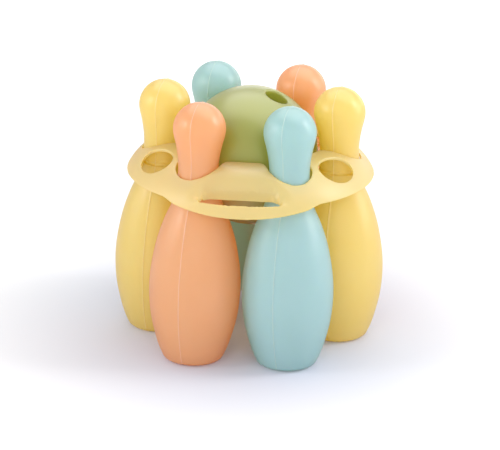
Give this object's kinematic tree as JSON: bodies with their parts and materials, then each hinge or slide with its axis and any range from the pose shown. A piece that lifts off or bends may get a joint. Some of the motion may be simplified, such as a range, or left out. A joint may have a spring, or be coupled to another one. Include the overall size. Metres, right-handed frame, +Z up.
{
  "type": "toy bowling set",
  "caption": "Toy bowling set stored upright: a ring of skittles held by their necks in a domed carrier with hand grips, and a ball in the middle.",
  "frame": {"origin": "on the floor, at the middle of the ring of skittles", "axes": "+Z up; one grip of the carrier faces -Y and the other +Y; skittles stand at +X and -X"},
  "size_m": [0.2756, 0.2572, 0.2636],
  "materials": {
    "carrier_yellow": "satin injection moulding",
    "ball_green": "satin blow moulding",
    "skittle_yellow": "satin blow moulding",
    "skittle_peach": "satin blow moulding",
    "skittle_aqua": "satin blow moulding"
  },
  "bodies": {
    "carrier": {"carrier": "carrier_yellow"},
    "ball": {"ball": "ball_green"},
    "pin_right": {"pin_right": "skittle_yellow"},
    "pin_back_right": {"pin_back_right": "skittle_peach"},
    "pin_back_left": {"pin_back_left": "skittle_aqua"},
    "pin_left": {"pin_left": "skittle_yellow"},
    "pin_front_left": {"pin_front_left": "skittle_peach"},
    "pin_front_right": {"pin_front_right": "skittle_aqua"}
  },
  "joints": [
    {"name": "ball_lift", "type": "slide", "parent": "carrier", "child": "ball", "axis": [0, 0, 1], "range_m": [0, 0.013]},
    {"name": "pin_right_hang", "type": "slide", "parent": "carrier", "child": "pin_right", "axis": [-0.0268, 0, 0.9996], "range_m": [-0.012, 0]},
    {"name": "pin_back_right_hang", "type": "slide", "parent": "carrier", "child": "pin_back_right", "axis": [-0.0134, -0.0232, 0.9996], "range_m": [-0.012, 0]},
    {"name": "pin_back_left_hang", "type": "slide", "parent": "carrier", "child": "pin_back_left", "axis": [0.0134, -0.0232, 0.9996], "range_m": [-0.012, 0]},
    {"name": "pin_left_hang", "type": "slide", "parent": "carrier", "child": "pin_left", "axis": [0.0268, 0, 0.9996], "range_m": [-0.012, 0]},
    {"name": "pin_front_left_hang", "type": "slide", "parent": "carrier", "child": "pin_front_left", "axis": [0.0134, 0.0232, 0.9996], "range_m": [-0.012, 0]},
    {"name": "pin_front_right_hang", "type": "slide", "parent": "carrier", "child": "pin_front_right", "axis": [-0.0134, 0.0232, 0.9996], "range_m": [-0.012, 0]}
  ]
}
